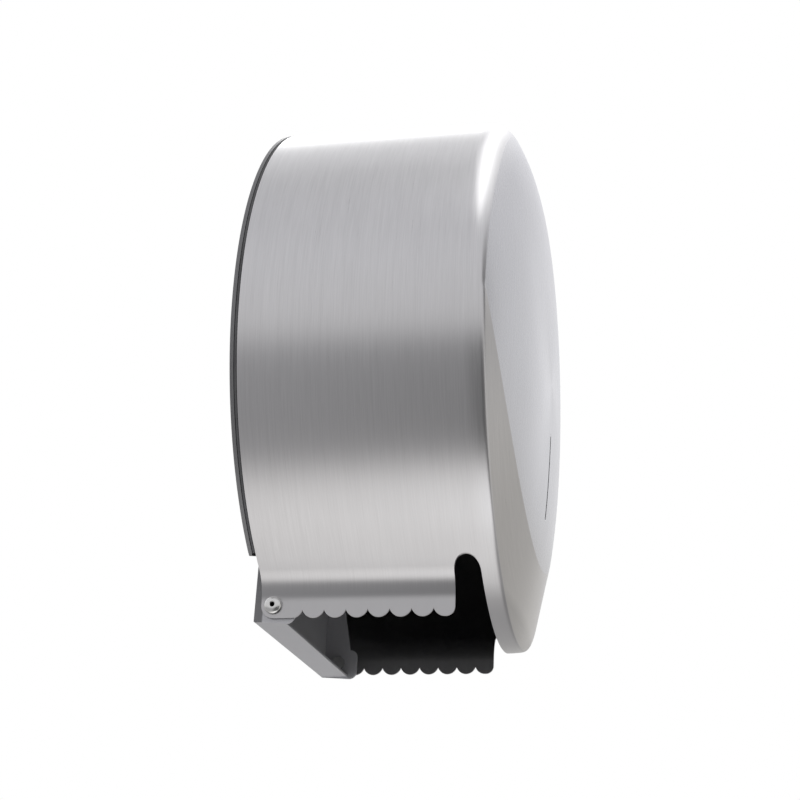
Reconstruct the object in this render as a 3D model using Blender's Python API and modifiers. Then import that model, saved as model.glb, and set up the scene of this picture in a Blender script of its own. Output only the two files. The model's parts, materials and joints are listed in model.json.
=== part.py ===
"""Wall-mounted jumbo toilet-roll dispenser in brushed stainless steel.

A round steel cover closes over a back plate that screws to the wall. The cover hinges forward and down
on two tubular rivets at its lower rear corners and is locked at the top. Inside, a plastic hub turns on
a fixed axle and carries the paper roll. The paper leaves through the open mouth at the bottom, between
two flanges with scalloped tear edges.

Frame: metres, +Z up, X across, and the front faces -Y. The origin is on the wall face of the back
plate, on the axis of the drum. "Depth" below is the distance from the wall, so y = -depth.
"""

import bmesh
import bpy
from math import acos, asin, atan2, cos, degrees, pi, radians, sin, sqrt
from mathutils import Matrix, Vector

MM = 0.001

# Clearances and sheet thicknesses
GAP = 0.3 * MM
STEEL = 1.0 * MM
PLATE = 1.5 * MM

# Drum
DRUM_R = 135.0 * MM
DRUM_REAR = 3.4 * MM
WALL_FRONT = 103.2 * MM
SKIRT_REAR = 103.5 * MM
COLUMNS = 72

# Pressed front: a shallow dome whose apex sits above the drum's axis, cut by a facet at the bottom
APEX_Z = 34.0 * MM
APEX_DEPTH = 128.5 * MM
DISH = 6.0 * MM
EDGE_DROP = 11.5 * MM
EDGE_POWER = 4.6
SMILE_CENTRE_Z = 50.0 * MM
SMILE_R = 144.5 * MM
FACET_CORNER_DEPTH = 111.7 * MM
ROUND_START_TOP = 104.0 * MM
ROUND_START_BOTTOM = 110.0 * MM
ROUND_REACH_TOP = 7.0 * MM
ROUND_REACH_BOTTOM = 1.5 * MM

# Side flanges with their tear edges
FLANGE_X = 64.0 * MM
FLANGE_BOTTOM = -134.8 * MM
FLANGE_FRONT = 91.5 * MM
BEND_R = 12.0 * MM
TOOTH_PITCH = 9.9 * MM
TOOTH_HEIGHT = 3.6 * MM
FIRST_VALLEY = 22.5 * MM
VALLEYS = 7
NOTCH_R = 6.0 * MM
NOTCH_TOP = -110.5 * MM
REAR_CORNER_R = 6.0 * MM
FRONT_CORNER_R = 4.0 * MM

# Cover hinge
HINGE_DEPTH = 9.0 * MM
HINGE_Z = -128.9 * MM
HINGE_HOLE_R = 2.4 * MM
RIVET_SHANK_R = 2.0 * MM
RIVET_HEAD_R = 4.0 * MM
RIVET_BORE_R = 1.1 * MM

# Back plate
DISC_R = 134.4 * MM
LIP_DEPTH = 1.9 * MM
LIP_STEP = 0.15 * MM
LIP_END_X = 77.4 * MM
BOX_X = 62.7 * MM
BOX_BOTTOM = -136.0 * MM
EAR_BOTTOM = -137.0 * MM
EAR_TOP = -100.0 * MM
EAR_DEPTH = 19.0 * MM
EAR_NECK = 11.5 * MM
FOOT_TOP = -122.0 * MM
EAR_SHEET = 1.2 * MM
SILL_DEPTH = 14.0 * MM
FIXING_X = 52.0 * MM
FIXING_Z = 62.0 * MM
FIXING_HOLE_R = 3.5 * MM

# Axle and hub
AXLE_R = 6.0 * MM
AXLE_FRONT = 98.0 * MM
BASE_R = 33.0 * MM
BASE_FRONT = 3.6 * MM
BASE_SCREW_CIRCLE = 23.0 * MM
HUB_R = 22.0 * MM
HUB_REAR = 6.0 * MM
HUB_FRONT = 96.0 * MM

# Lock
LOCK_DEPTH = 26.0 * MM
LOCK_BODY_R = 8.0 * MM
LOCK_PLUG_R = 5.5 * MM
LOCK_TOP = 137.0 * MM
CAM_REACH = 20.0 * MM
CAM_BOTTOM = 115.5 * MM
KEEPER_X = 18.0 * MM
KEEPER_WIDTH = 8.0 * MM

# Sight slot in the front
SLOT_TOP = -27.0 * MM
SLOT_BOTTOM = -73.0 * MM
SLOT_WIDTH = 3.2 * MM


# ---------------------------------------------------------------- scene set-up

def clear_scene():
    for old in list(bpy.data.objects):
        bpy.data.objects.remove(old, do_unlink=True)


def new_collection(name):
    group = bpy.data.collections.new(name)
    bpy.context.scene.collection.children.link(group)
    return group


def make_material(name, colour, roughness, metallic=0.0):
    material = bpy.data.materials.new(name)
    material.use_nodes = True
    shader = material.node_tree.nodes["Principled BSDF"]
    shader.inputs["Base Color"].default_value = (*colour, 1.0)
    shader.inputs["Roughness"].default_value = roughness
    shader.inputs["Metallic"].default_value = metallic
    material.diffuse_color = (*colour, 1.0)
    return material


clear_scene()
PARTS = new_collection("jumbo_roll_dispenser")
CUTTERS = new_collection("cutters")


def world_place(empty):
    """Empties are never turned, so their places simply add up."""
    place = Vector()
    while empty:
        place += empty.location
        empty = empty.parent
    return place


def make_empty(name, at, parent=None):
    """An empty whose place is given in the world and stored relative to its parent."""
    empty = bpy.data.objects.new(name, None)
    empty.empty_display_size = 0.02
    empty.location = Vector(at) - world_place(parent)
    empty.parent = parent
    PARTS.objects.link(empty)
    return empty


def part(name, mesh, material, parent, at=(0, 0, 0), turn=(0, 0, 0)):
    """A named piece whose place and turn are given in the world and stored relative to its parent."""
    piece = bpy.data.objects.new(name, mesh)
    mesh.name = name
    mesh.materials.clear()
    mesh.materials.append(material)
    piece.parent = parent
    piece.location = Vector(at) - world_place(parent)
    piece.rotation_euler = turn
    PARTS.objects.link(piece)
    return piece


def cutter(name, mesh, at=(0, 0, 0), turn=(0, 0, 0)):
    tool = bpy.data.objects.new(name, mesh)
    tool.location = at
    tool.rotation_euler = turn
    tool.hide_render = True
    tool.display_type = "WIRE"
    CUTTERS.objects.link(tool)
    return tool


def boolean(piece, tool, operation="DIFFERENCE"):
    step = piece.modifiers.new(operation.lower() + "_" + tool.name, "BOOLEAN")
    step.operation = operation
    step.object = tool
    step.solver = "EXACT"


def bevel(piece, width, segments=2, angle=40):
    step = piece.modifiers.new("edge_bevel", "BEVEL")
    step.width = width
    step.segments = segments
    step.limit_method = "ANGLE"
    step.angle_limit = radians(angle)


def smooth(mesh, angle=35):
    mesh.shade_smooth()
    mesh.set_sharp_from_angle(angle=radians(angle))


# ---------------------------------------------------------------- mesh makers

def box_mesh(low, high):
    """A box between two corners, as a mesh in world axes."""
    low, high = Vector(low), Vector(high)
    mesh = bpy.data.meshes.new("box")
    shape = bmesh.new()
    size = high - low
    matrix = Matrix.Translation((low + high) / 2) @ Matrix.Diagonal((*size, 1))
    bmesh.ops.create_cube(shape, size=1.0, matrix=matrix)
    shape.to_mesh(mesh)
    shape.free()
    return mesh


def rod_mesh(radius, length, sides=24):
    """A cylinder along Z, centred on the origin."""
    mesh = bpy.data.meshes.new("rod")
    shape = bmesh.new()
    bmesh.ops.create_cone(shape, cap_ends=True, segments=sides, radius1=radius, radius2=radius,
                          depth=length)
    shape.to_mesh(mesh)
    shape.free()
    smooth(mesh)
    return mesh


def outline_mesh(points, thickness):
    """A flat outline in XY, from a filled 2D curve, as a mesh that is thickness high along Z."""
    curve = bpy.data.curves.new("outline", "CURVE")
    curve.dimensions = "2D"
    curve.fill_mode = "BOTH"
    curve.extrude = thickness / 2
    line = curve.splines.new("POLY")
    line.points.add(len(points) - 1)
    for point, (x, y) in zip(line.points, points):
        point.co = (x, y, 0, 1)
    line.use_cyclic_u = True
    holder = bpy.data.objects.new("outline", curve)
    CUTTERS.objects.link(holder)
    graph = bpy.context.evaluated_depsgraph_get()
    mesh = bpy.data.meshes.new_from_object(holder.evaluated_get(graph))
    bpy.data.objects.remove(holder, do_unlink=True)
    shape = bmesh.new()
    shape.from_mesh(mesh)
    bmesh.ops.remove_doubles(shape, verts=shape.verts, dist=1e-6)
    bmesh.ops.recalc_face_normals(shape, faces=shape.faces)
    shape.to_mesh(mesh)
    shape.free()
    return mesh


def side_plate_mesh(points, x_low, x_high):
    """An outline given as (depth, z), as a plate between two X places, in world axes."""
    mesh = outline_mesh(points, x_high - x_low)
    # outline (depth, z, thickness) becomes world (thickness, -depth, z)
    axes = Matrix(((0, 0, 1, 0), (-1, 0, 0, 0), (0, 1, 0, 0), (0, 0, 0, 1)))
    mesh.transform(Matrix.Translation(((x_low + x_high) / 2, 0, 0)) @ axes)
    mesh.flip_normals()
    return mesh


def turned_mesh(profile, closed):
    """A profile of (radius, height) points that runs down its outer side, for a Screw about Z."""
    mesh = bpy.data.meshes.new("turned")
    count = len(profile)
    edges = [(i, i + 1) for i in range(count - 1)]
    if closed:
        edges.append((count - 1, 0))
    mesh.from_pydata([(r, 0, h) for r, h in profile], edges, [])
    return mesh


def turned(name, profile, material, parent, at=(0, 0, 0), turn=(0, 0, 0), closed=True, steps=32):
    """A turned piece. Its own Z runs along the turning axis."""
    piece = part(name, turned_mesh(profile, closed), material, parent, at, turn)
    screw = piece.modifiers.new("turn", "SCREW")
    screw.axis = "Z"
    screw.steps = steps
    screw.render_steps = steps
    screw.use_merge_vertices = True
    screw.merge_threshold = 0.00001
    screw.use_smooth_shade = True
    return piece


def arc(centre, radius, start, end, steps):
    """Points along an arc, both ends included, angles in degrees."""
    points = []
    for i in range(steps + 1):
        angle = radians(start + (end - start) * i / steps)
        points.append((centre[0] + radius * cos(angle), centre[1] + radius * sin(angle)))
    return points


def ring_profile(inner, outer, low, high):
    """A plain ring, running down its outer side."""
    return [(outer, high), (outer, low), (inner, low), (inner, high)]


# Turning axes: local Z points away from the wall, towards -X, or towards +X
TO_FRONT = (radians(90), 0, 0)
TO_LEFT = (0, radians(-90), 0)
TO_RIGHT = (0, radians(90), 0)

BRUSHED = make_material("brushed_steel", (0.62, 0.61, 0.62), 0.34, 1.0)
PLATED = make_material("plate_steel", (0.45, 0.45, 0.46), 0.42, 1.0)
ZINC = make_material("zinc_fastener", (0.58, 0.58, 0.56), 0.30, 1.0)
RUBBER = make_material("seal_rubber", (0.045, 0.045, 0.048), 0.65)
BLACK_PLASTIC = make_material("hub_plastic", (0.05, 0.05, 0.055), 0.45)
NYLON = make_material("bush_nylon", (0.80, 0.79, 0.74), 0.5)
LOCK_CHROME = make_material("lock_chrome", (0.70, 0.70, 0.71), 0.16, 1.0)
SMOKED = make_material("smoked_lens", (0.03, 0.03, 0.035), 0.12)

HINGE = Vector((0, -HINGE_DEPTH, HINGE_Z))
LOCK = Vector((0, -LOCK_DEPTH, DRUM_R))

WALL_UNIT = make_empty("wall_unit", (0, 0, 0))
COVER = make_empty("cover_pivot", HINGE, WALL_UNIT)
LOCK_PIVOT = make_empty("lock_pivot", LOCK, COVER)
HUB_PIVOT = make_empty("hub_pivot", (0, 0, 0), WALL_UNIT)


# ---------------------------------------------------------------- cover: drum wall with flanges

def half_wall_path():
    """Outer face of the wall on the -X side, as (x, z), from the top down to the tear edge.

    The drum's circle runs into an outward-hollow bend, and the bend into an upright flange.
    """
    bend_x = -FLANGE_X - BEND_R
    bend_z = -sqrt((DRUM_R + BEND_R) ** 2 - bend_x ** 2)
    circle_end = degrees(atan2(bend_z, bend_x)) + 360
    step = 360 / COLUMNS
    path = []
    angle = 90.0
    while angle < circle_end - step / 2:
        path.append((DRUM_R * cos(radians(angle)), DRUM_R * sin(radians(angle))))
        angle += step
    path.extend(arc((bend_x, bend_z), BEND_R, circle_end - 180, 0, 7))
    path.append((-FLANGE_X, FLANGE_BOTTOM))
    return path


def make_cover_wall():
    """Rolled strip: the half profile is run along the depth, mirrored, thickened and then cut."""
    mesh = bpy.data.meshes.new("cover_wall")
    shape = bmesh.new()
    rear = [shape.verts.new((x, -DRUM_REAR, z)) for x, z in half_wall_path()]
    front = [shape.verts.new((x, -WALL_FRONT, z)) for x, z in half_wall_path()]
    for i in range(len(rear) - 1):
        shape.faces.new((rear[i], rear[i + 1], front[i + 1], front[i]))
    shape.to_mesh(mesh)
    shape.free()
    smooth(mesh)
    wall = part("cover_wall", mesh, BRUSHED, COVER)
    mirror = wall.modifiers.new("both_sides", "MIRROR")
    mirror.use_axis = (True, False, False)
    mirror.merge_threshold = 0.00001
    sheet = wall.modifiers.new("sheet", "SOLIDIFY")
    sheet.thickness = STEEL
    sheet.offset = -1
    sheet.use_even_offset = True
    return wall


def tear_edge_outline():
    """What is cut away below both flanges and in front of them, as (depth, z) points.

    Each tooth is an arc whose ends are the sharp valleys; the flange's two lower corners are rounded,
    and the notch in front of it has a round top.
    """
    half = TOOTH_PITCH / 2
    tooth_r = (half ** 2 + TOOTH_HEIGHT ** 2) / (2 * TOOTH_HEIGHT)
    tooth_z = FLANGE_BOTTOM + tooth_r
    reach = degrees(acos((tooth_r - TOOTH_HEIGHT) / tooth_r))
    below = FLANGE_BOTTOM - 15 * MM
    corner_z = FLANGE_BOTTOM + REAR_CORNER_R
    outline = [(-4 * MM, below), (-4 * MM, corner_z)]
    outline += arc((DRUM_REAR + REAR_CORNER_R, corner_z), REAR_CORNER_R, 180, 270, 5)
    outline += arc((FIRST_VALLEY - half, tooth_z), tooth_r, -90, -90 + reach, 4)
    for tooth in range(VALLEYS - 1):
        centre = FIRST_VALLEY + half + tooth * TOOTH_PITCH
        outline += arc((centre, tooth_z), tooth_r, -90 - reach, -90 + reach, 8)[1:]
    last = FIRST_VALLEY + (VALLEYS - 1) * TOOTH_PITCH + half
    outline += arc((last, tooth_z), tooth_r, -90 - reach, -90, 4)[1:]
    front_z = FLANGE_BOTTOM + FRONT_CORNER_R
    outline += arc((FLANGE_FRONT - FRONT_CORNER_R, front_z), FRONT_CORNER_R, -90, 0, 4)
    outline += arc((FLANGE_FRONT + NOTCH_R, NOTCH_TOP - NOTCH_R), NOTCH_R, 180, 0, 10)
    beyond = WALL_FRONT + 4 * MM
    outline += [(beyond, NOTCH_TOP - NOTCH_R), (beyond, below)]
    return outline


cover_wall = make_cover_wall()
tear_cut = cutter("tear_edge_cut", side_plate_mesh(tear_edge_outline(), -85 * MM, 85 * MM))
hinge_cut = cutter("hinge_hole_cut", rod_mesh(HINGE_HOLE_R, 160 * MM, 16), HINGE, TO_RIGHT)
lock_cut = cutter("lock_hole_cut", rod_mesh(LOCK_BODY_R + GAP, 20 * MM, 24), LOCK)
boolean(cover_wall, tear_cut)
boolean(cover_wall, hinge_cut)
boolean(cover_wall, lock_cut)


# ---------------------------------------------------------------- cover: pressed front cap

def smoothstep(value):
    value = min(max(value, 0.0), 1.0)
    return value * value * (3 - 2 * value)


def dome_depth(x, z):
    """Depth of the dome: level curves are circles that grow from the apex to the drum's rim."""
    from_apex = z - APEX_Z
    a = APEX_Z ** 2 - DRUM_R ** 2
    b = 2 * APEX_Z * from_apex
    c = x ** 2 + from_apex ** 2
    share = min((-b - sqrt(b ** 2 - 4 * a * c)) / (2 * a), 1.0)
    return APEX_DEPTH - DISH * share ** 2 - EDGE_DROP * share ** EDGE_POWER


def dome_at(radius, angle):
    return dome_depth(radius * cos(angle), radius * sin(angle))


def smile_radius(angle):
    """Distance from the drum's axis to the circle that bounds the dome at the bottom."""
    down = SMILE_CENTRE_Z * sin(angle)
    return down + sqrt(down ** 2 + SMILE_R ** 2 - SMILE_CENTRE_Z ** 2)


def cap_profile(angle):
    """Outer face of the cap at one angle, as (radius, depth), from the skirt to near the centre.

    Above, the dome runs out to the rounded rim, which is generous over the top and tight along the
    bottom. Below, the dome stops at the smile-shaped crease, and a straight facet carries on.
    """
    elevation = degrees(asin(sin(angle)))
    top_share = smoothstep((elevation + 15) / 55)
    start = ROUND_START_BOTTOM + (ROUND_START_TOP - ROUND_START_BOTTOM) * top_share
    reach = ROUND_REACH_BOTTOM + (ROUND_REACH_TOP - ROUND_REACH_BOTTOM) * top_share
    end_r = DRUM_R - reach
    crease_r = min(smile_radius(angle), end_r - 0.5 * MM)
    crease_depth = dome_at(crease_r, angle)
    if smile_radius(angle) < end_r - 0.5 * MM:
        slope = (crease_depth - FACET_CORNER_DEPTH) / (DRUM_R - crease_r)
        end_depth = FACET_CORNER_DEPTH + slope * reach
    else:
        slope = (dome_at(end_r - 0.1 * MM, angle) - dome_at(end_r + 0.1 * MM, angle)) / (0.2 * MM)
        end_depth = dome_at(end_r, angle)
    corner_depth = end_depth - slope * reach
    profile = [(DRUM_R, SKIRT_REAR)]
    for i in range(5):
        t = i / 4
        depth = (1 - t) ** 2 * start + 2 * t * (1 - t) * corner_depth + t ** 2 * end_depth
        profile.append((DRUM_R - t ** 2 * reach, depth))
    profile.append(((end_r + crease_r) / 2, (end_depth + crease_depth) / 2))
    profile.append((crease_r, crease_depth))
    for share in (0.9, 0.78, 0.6, 0.4, 0.2):
        radius = crease_r * share
        profile.append((radius, dome_at(radius, angle)))
    return profile


def make_front_cap():
    """The outer face is a loft of radial profiles round the axis, thickened inwards."""
    mesh = bpy.data.meshes.new("front_cap")
    shape = bmesh.new()
    columns = []
    for i in range(COLUMNS):
        angle = 2 * pi * i / COLUMNS
        column = [shape.verts.new((r * cos(angle), -depth, r * sin(angle)))
                  for r, depth in cap_profile(angle)]
        columns.append(column)
    centre = shape.verts.new((0, -dome_depth(0, 0), 0))
    for i, here in enumerate(columns):
        there = columns[(i + 1) % COLUMNS]
        for j in range(len(here) - 1):
            shape.faces.new((here[j], there[j], there[j + 1], here[j + 1]))
        shape.faces.new((here[-1], there[-1], centre))
    bmesh.ops.recalc_face_normals(shape, faces=shape.faces)
    shape.to_mesh(mesh)
    shape.free()
    smooth(mesh, 25)
    cap = part("front_cap", mesh, BRUSHED, COVER)
    sheet = cap.modifiers.new("sheet", "SOLIDIFY")
    sheet.thickness = STEEL
    sheet.offset = -1
    sheet.use_even_offset = True
    return cap


def slot_outline(width, top, bottom, steps=6):
    """A round-ended upright slot as (x, z) points."""
    half = width / 2
    return arc((0, top - half), half, 0, 180, steps) + arc((0, bottom + half), half, 180, 360, steps)


front_cap = make_front_cap()
slot_mesh = outline_mesh(slot_outline(SLOT_WIDTH, SLOT_TOP, SLOT_BOTTOM), 20 * MM)
slot_cut = cutter("sight_slot_cut", slot_mesh, (0, -APEX_DEPTH, 0), TO_FRONT)
boolean(front_cap, slot_cut)

# The lens and its holder lie behind the slot, along the chord of the dome between their ends. The dome
# bulges in front of that chord, so only the ends are near the sheet, and the lens keeps a gap there.
LENS_HEIGHT = 54 * MM
LENS_SHEET = 1.2 * MM
HOLDER_HEIGHT = 62 * MM
HOLDER_SHEET = 1.4 * MM
SLOT_MID = (SLOT_TOP + SLOT_BOTTOM) / 2
HOLDER_TOP_DEPTH = dome_depth(0, SLOT_MID + HOLDER_HEIGHT / 2)
HOLDER_BOTTOM_DEPTH = dome_depth(0, SLOT_MID - HOLDER_HEIGHT / 2)
LENS_TILT = atan2(HOLDER_TOP_DEPTH - HOLDER_BOTTOM_DEPTH, HOLDER_HEIGHT)
LENS_DEPTH = (HOLDER_TOP_DEPTH + HOLDER_BOTTOM_DEPTH) / 2 - STEEL - 2 * GAP - LENS_SHEET / 2
HOLDER_DEPTH = LENS_DEPTH - LENS_SHEET / 2 - GAP - HOLDER_SHEET / 2


def behind_slot(name, width, height, thickness, depth, material):
    mesh = box_mesh((-width / 2, -thickness / 2, -height / 2), (width / 2, thickness / 2, height / 2))
    return part(name, mesh, material, COVER, (0, -depth, SLOT_MID), (LENS_TILT, 0, 0))


sight_lens = behind_slot("sight_lens", 9 * MM, LENS_HEIGHT, LENS_SHEET, LENS_DEPTH, SMOKED)
bevel(sight_lens, 0.2 * MM)
lens_holder = behind_slot("lens_holder", 18 * MM, HOLDER_HEIGHT, HOLDER_SHEET, HOLDER_DEPTH,
                          BLACK_PLASTIC)
holder_mesh = box_mesh((-3 * MM, -6 * MM, -24 * MM), (3 * MM, 6 * MM, 24 * MM))
holder_cut = cutter("lens_holder_cut", holder_mesh, (0, -HOLDER_DEPTH, SLOT_MID), (LENS_TILT, 0, 0))
boolean(lens_holder, holder_cut)


# ---------------------------------------------------------------- wall unit: back plate

def plate_outline():
    """Front view of the plate as (x, z): the disc, and the narrower box part below it."""
    end = -sqrt(DISC_R ** 2 - LIP_END_X ** 2)
    start_angle = degrees(atan2(end, LIP_END_X))
    outline = arc((0, 0), DISC_R, start_angle, 180 - start_angle, 56)
    side = BOX_X - LIP_STEP
    bottom = BOX_BOTTOM + LIP_STEP
    shoulder = end + 4 * MM
    outline += [(-side, shoulder), (-side, bottom), (side, bottom), (side, shoulder)]
    return outline


def lip_outline(inner, outer):
    """An arc-shaped band round the disc that stops short of the box part, as (x, z)."""
    end = -sqrt(DISC_R ** 2 - LIP_END_X ** 2)
    start_angle = degrees(atan2(end, LIP_END_X)) + 0.8
    band = arc((0, 0), outer, start_angle, 180 - start_angle, 60)
    return band + arc((0, 0), inner, 180 - start_angle, start_angle, 60)


def upright_mesh(points, depth_low, depth_high):
    """An outline given as (x, z), as a plate between two depths, in world axes."""
    mesh = outline_mesh(points, depth_high - depth_low)
    middle = Matrix.Translation((0, -(depth_low + depth_high) / 2, 0))
    mesh.transform(middle @ Matrix.Rotation(pi / 2, 4, "X"))
    return mesh


def ear_outline():
    """Side ear as (depth, z): a narrow upright with a rounded foot that carries the hinge rivet."""
    corner = 4 * MM
    outline = [(LIP_STEP, EAR_TOP), (LIP_STEP, BOX_BOTTOM)]
    outline += arc((EAR_DEPTH - corner, EAR_BOTTOM + corner), corner, -90, 0, 5)
    outline += arc((EAR_DEPTH - corner, FOOT_TOP - corner), corner, 0, 90, 5)
    outline += arc((EAR_NECK - corner, EAR_TOP - corner), corner, 0, 90, 5)
    return outline


back_plate = part("back_plate", upright_mesh(plate_outline(), 0, PLATE), PLATED, WALL_UNIT)
lip = cutter("lip_add", upright_mesh(lip_outline(133.6 * MM, DRUM_R), LIP_STEP, LIP_DEPTH))
sill = cutter("sill_add", box_mesh((-BOX_X + 2 * LIP_STEP, -SILL_DEPTH, BOX_BOTTOM),
                                   (BOX_X - 2 * LIP_STEP, -2 * LIP_STEP, BOX_BOTTOM + EAR_SHEET)))
ear_left = cutter("ear_left_add", side_plate_mesh(ear_outline(), -BOX_X, -BOX_X + EAR_SHEET))
ear_right = cutter("ear_right_add", side_plate_mesh(ear_outline(), BOX_X - EAR_SHEET, BOX_X))
for addition in (lip, sill, ear_left, ear_right):
    boolean(back_plate, addition, "UNION")
boolean(back_plate, hinge_cut)
for side in (-1, 1):
    for level in (-1, 1):
        hole = cutter("fixing_hole_cut", rod_mesh(FIXING_HOLE_R, 12 * MM, 20),
                      (side * FIXING_X, 0, level * FIXING_Z), TO_FRONT)
        boolean(back_plate, hole)

edge_seal = part("edge_seal", upright_mesh(lip_outline(133.4 * MM, 134.9 * MM), LIP_DEPTH + GAP,
                                           DRUM_REAR - GAP), RUBBER, WALL_UNIT)


# ---------------------------------------------------------------- wall unit: axle

base_profile = [(AXLE_R + GAP, BASE_FRONT), (BASE_R - 1 * MM, BASE_FRONT), (BASE_R, BASE_FRONT - 1 * MM),
                (BASE_R, PLATE + GAP), (AXLE_R + GAP, PLATE + GAP)]
axle_base = turned("axle_base", base_profile, PLATED, WALL_UNIT, turn=TO_FRONT, steps=40)

SCREW_BORE_R = 2.8 * MM
AXLE_CHAMFER = 0.6 * MM
SCREW_BORE_END = AXLE_FRONT - 16 * MM
axle_profile = [(SCREW_BORE_R, AXLE_FRONT), (AXLE_R - AXLE_CHAMFER, AXLE_FRONT),
                (AXLE_R, AXLE_FRONT - AXLE_CHAMFER), (AXLE_R, PLATE + GAP), (0, PLATE + GAP),
                (0, SCREW_BORE_END), (SCREW_BORE_R, SCREW_BORE_END)]
axle = turned("axle", axle_profile, ZINC, WALL_UNIT, turn=TO_FRONT, steps=24)

washer_profile = ring_profile(SCREW_BORE_R, 14 * MM, AXLE_FRONT + GAP, AXLE_FRONT + 1.8 * MM)
axle_washer = turned("axle_washer", washer_profile, ZINC, WALL_UNIT, turn=TO_FRONT, steps=32)


def screw_profile(shank_r, shank_end, head_r, seat, head_height):
    """A pan-head screw with a plain shank, running down its outer side."""
    top = seat + head_height
    return [(0, top), (head_r * 0.55, top), (head_r * 0.88, top - head_height * 0.28),
            (head_r, top - head_height * 0.65), (head_r, seat), (shank_r, seat), (shank_r, shank_end),
            (0, shank_end)]


axle_screw = turned("axle_screw", screw_profile(2.5 * MM, AXLE_FRONT - 12 * MM, 5 * MM,
                                                AXLE_FRONT + 2.1 * MM, 3 * MM),
                    ZINC, WALL_UNIT, turn=TO_FRONT, closed=False, steps=24)
socket_cut = cutter("hex_socket_cut", rod_mesh(2.1 * MM, 3.4 * MM, 6), (0, -(AXLE_FRONT + 5.1 * MM), 0),
                    TO_FRONT)
boolean(axle_screw, socket_cut)

for i in range(3):
    angle = radians(90 + 120 * i)
    spot = (BASE_SCREW_CIRCLE * cos(angle), 0, BASE_SCREW_CIRCLE * sin(angle))
    base_hole = cutter("base_hole_cut", rod_mesh(2.3 * MM, 12 * MM, 16), spot, TO_FRONT)
    boolean(axle_base, base_hole)
    pilot = cutter("pilot_cut", rod_mesh(2.3 * MM, 12 * MM, 16), spot, TO_FRONT)
    boolean(back_plate, pilot)
    rivet_profile = [(0, 5.4 * MM), (2.2 * MM, 5.1 * MM), (3.4 * MM, 4.5 * MM),
                     (3.6 * MM, BASE_FRONT + GAP), (2.0 * MM, BASE_FRONT + GAP), (2.0 * MM, 0.3 * MM),
                     (0, 0.3 * MM)]
    turned("base_rivet_%d" % (i + 1), rivet_profile, ZINC, WALL_UNIT, spot, TO_FRONT, closed=False,
           steps=16)


# ---------------------------------------------------------------- hub that carries the roll

BUSH_BORE_R = AXLE_R + GAP
BUSH_R = 8.1 * MM
SLEEVE_R = BUSH_R + GAP
SLEEVE_OUTER_R = SLEEVE_R + 2.1 * MM
SLEEVE_FRONT = HUB_FRONT - 2 * MM
HUB_INNER_R = HUB_R - 2.2 * MM
HUB_FLANGE_R = 33 * MM
HUB_FLANGE_FRONT = HUB_REAR + 2.5 * MM
hub_profile = [(HUB_R - 1.2 * MM, HUB_FRONT), (HUB_R, HUB_FRONT - 1.2 * MM), (HUB_R, HUB_FLANGE_FRONT),
               (HUB_FLANGE_R - 1 * MM, HUB_FLANGE_FRONT), (HUB_FLANGE_R, HUB_FLANGE_FRONT - 1 * MM),
               (HUB_FLANGE_R, HUB_REAR), (SLEEVE_R, HUB_REAR), (SLEEVE_R, SLEEVE_FRONT),
               (SLEEVE_OUTER_R, SLEEVE_FRONT), (SLEEVE_OUTER_R, HUB_FLANGE_FRONT),
               (HUB_INNER_R, HUB_FLANGE_FRONT), (HUB_INNER_R, HUB_FRONT)]
core_hub = turned("core_hub", hub_profile, BLACK_PLASTIC, HUB_PIVOT, turn=TO_FRONT, steps=40)


def grip_ribs():
    """Six low ribs along the hub that hold the roll's cardboard core."""
    for i in range(6):
        angle = radians(60 * i + 30)
        mesh = box_mesh((HUB_R - 0.8 * MM, -(HUB_FRONT - 6 * MM), -1.2 * MM),
                        (HUB_R + 1.4 * MM, -(HUB_REAR + 5 * MM), 1.2 * MM))
        rib = cutter("grip_rib_add", mesh, (0, 0, 0), (0, angle, 0))
        boolean(core_hub, rib, "UNION")


grip_ribs()

BUSH_FLANGE_R = 10.5 * MM
REAR_BUSH_END = HUB_REAR + 12 * MM
REAR_BUSH_START = BASE_FRONT + 0.6 * MM
rear_bush = [(BUSH_R, REAR_BUSH_END), (BUSH_R, HUB_REAR - GAP), (BUSH_FLANGE_R, HUB_REAR - GAP),
             (BUSH_FLANGE_R, REAR_BUSH_START), (BUSH_BORE_R, REAR_BUSH_START),
             (BUSH_BORE_R, REAR_BUSH_END)]
hub_bush_rear = turned("hub_bush_rear", rear_bush, NYLON, HUB_PIVOT, turn=TO_FRONT, steps=24)
FRONT_BUSH_END = AXLE_FRONT - 0.6 * MM
FRONT_BUSH_START = HUB_FRONT - 16 * MM
front_bush = [(BUSH_FLANGE_R, FRONT_BUSH_END), (BUSH_FLANGE_R, SLEEVE_FRONT + GAP),
              (BUSH_R, SLEEVE_FRONT + GAP), (BUSH_R, FRONT_BUSH_START), (BUSH_BORE_R, FRONT_BUSH_START),
              (BUSH_BORE_R, FRONT_BUSH_END)]
hub_bush_front = turned("hub_bush_front", front_bush, NYLON, HUB_PIVOT, turn=TO_FRONT, steps=24)


# ---------------------------------------------------------------- hinge rivets

EAR_INNER = BOX_X - EAR_SHEET
RIVET_BORE_END = EAR_INNER - 0.4 * MM
hinge_rivet_profile = [(RIVET_BORE_R, 66.3 * MM), (2.3 * MM, 66.2 * MM), (3.4 * MM, 65.6 * MM),
                       (RIVET_HEAD_R, 64.7 * MM), (RIVET_HEAD_R, FLANGE_X + GAP),
                       (RIVET_SHANK_R, FLANGE_X + GAP), (RIVET_SHANK_R, EAR_INNER - GAP),
                       (3.4 * MM, EAR_INNER - GAP), (3.4 * MM, EAR_INNER - 1.4 * MM),
                       (0, EAR_INNER - 1.4 * MM), (0, RIVET_BORE_END), (RIVET_BORE_R, RIVET_BORE_END)]
turned("hinge_rivet_left", hinge_rivet_profile, ZINC, WALL_UNIT, HINGE, TO_LEFT, steps=20)
turned("hinge_rivet_right", hinge_rivet_profile, ZINC, WALL_UNIT, HINGE, TO_RIGHT, steps=20)


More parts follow.
